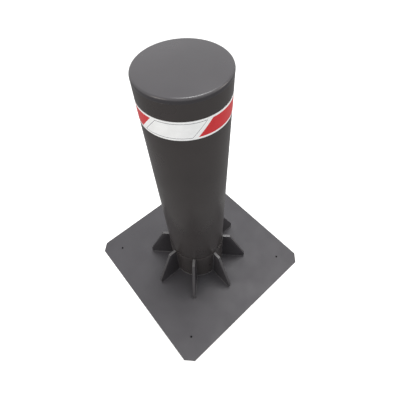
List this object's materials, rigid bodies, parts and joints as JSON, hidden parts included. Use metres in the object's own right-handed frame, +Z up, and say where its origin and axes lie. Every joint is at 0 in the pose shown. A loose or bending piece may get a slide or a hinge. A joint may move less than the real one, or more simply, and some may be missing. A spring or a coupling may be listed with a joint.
{
  "type": "retractable bollard",
  "caption": "Round steel post that a screw drive lowers into a pit casing, with a gusseted base plate, collar and reflective band.",
  "frame": {"origin": "the post's axis at the underside of the base plate, the face that rests on the edge of the pit", "axes": "+Z up along the post, +X and +Y along the base plate's sides, the drain leaves at +Y"},
  "size_m": [0.67, 0.67, 2.1913],
  "materials": {
    "anthracite_paint": "semi-gloss",
    "reflective_tape": "glossy",
    "galvanised_steel": "satin",
    "machined_steel": "satin",
    "screw_steel": "polished",
    "bearing_steel": "polished",
    "nut_bronze": "satin",
    "zinc_fasteners": "satin",
    "guide_polymer": "matte",
    "black_rubber": "matte",
    "cast_aluminium": "matte",
    "motor_paint": "satin",
    "gland_plastic": "matte",
    "sensor_brass": "satin"
  },
  "bodies": {
    "ground_frame": {"base_plate": "anthracite_paint", "collar": "anthracite_paint", "gusset_1": "anthracite_paint", "gusset_2": "anthracite_paint", "gusset_3": "anthracite_paint", "gusset_4": "anthracite_paint", "gusset_5": "anthracite_paint", "gusset_6": "anthracite_paint", "gusset_7": "anthracite_paint", "gusset_8": "anthracite_paint", "head_flange": "galvanised_steel", "pit_casing": "galvanised_steel", "casing_floor": "galvanised_steel", "drain_spigot": "galvanised_steel", "conduit_stub": "galvanised_steel", "deck_lugs": "galvanised_steel", "guide_retainer": "machined_steel", "guide_key": "machined_steel", "drive_deck": "machined_steel", "bearing_outer_race": "bearing_steel", "bearing_balls": "bearing_steel", "guide_screws": "zinc_fasteners", "housing_screws": "zinc_fasteners", "drive_screws": "zinc_fasteners", "upper_guide": "guide_polymer", "wiper_seal": "black_rubber", "stop_pad": "black_rubber", "buffers": "black_rubber", "bearing_housing": "cast_aluminium", "bell_housing": "cast_aluminium", "gearbox": "cast_aluminium", "motor_brake": "cast_aluminium", "motor": "motor_paint", "motor_gland": "gland_plastic", "limit_sensor": "sensor_brass"},
    "post": {"post_tube": "anthracite_paint", "post_cap": "anthracite_paint", "cap_seal": "black_rubber", "reflective_band": "reflective_tape", "stop_flange": "machined_steel", "wear_ring": "guide_polymer", "post_foot": "machined_steel", "foot_screws": "zinc_fasteners", "lift_nut": "nut_bronze", "nut_screws": "zinc_fasteners"},
    "drive_screw": {"lift_screw": "screw_steel", "screw_end_washer": "machined_steel", "bearing_inner_race": "bearing_steel", "shaft_coupling": "machined_steel", "output_shaft": "machined_steel"}
  },
  "joints": [
    {"name": "post_slide", "type": "slide", "parent": "ground_frame", "child": "post", "axis": [0, 0, 1], "range_m": [-0.76, 0]},
    {"name": "screw_spin", "type": "hinge", "parent": "ground_frame", "child": "drive_screw", "pos_m": [0, 0, -0.95], "axis": [0, 0, 1], "range_deg": [-6841, 0]}
  ],
  "couplings": [
    {"joint": "screw_spin", "follows": "post_slide", "rad_per_m": 157.08}
  ]
}
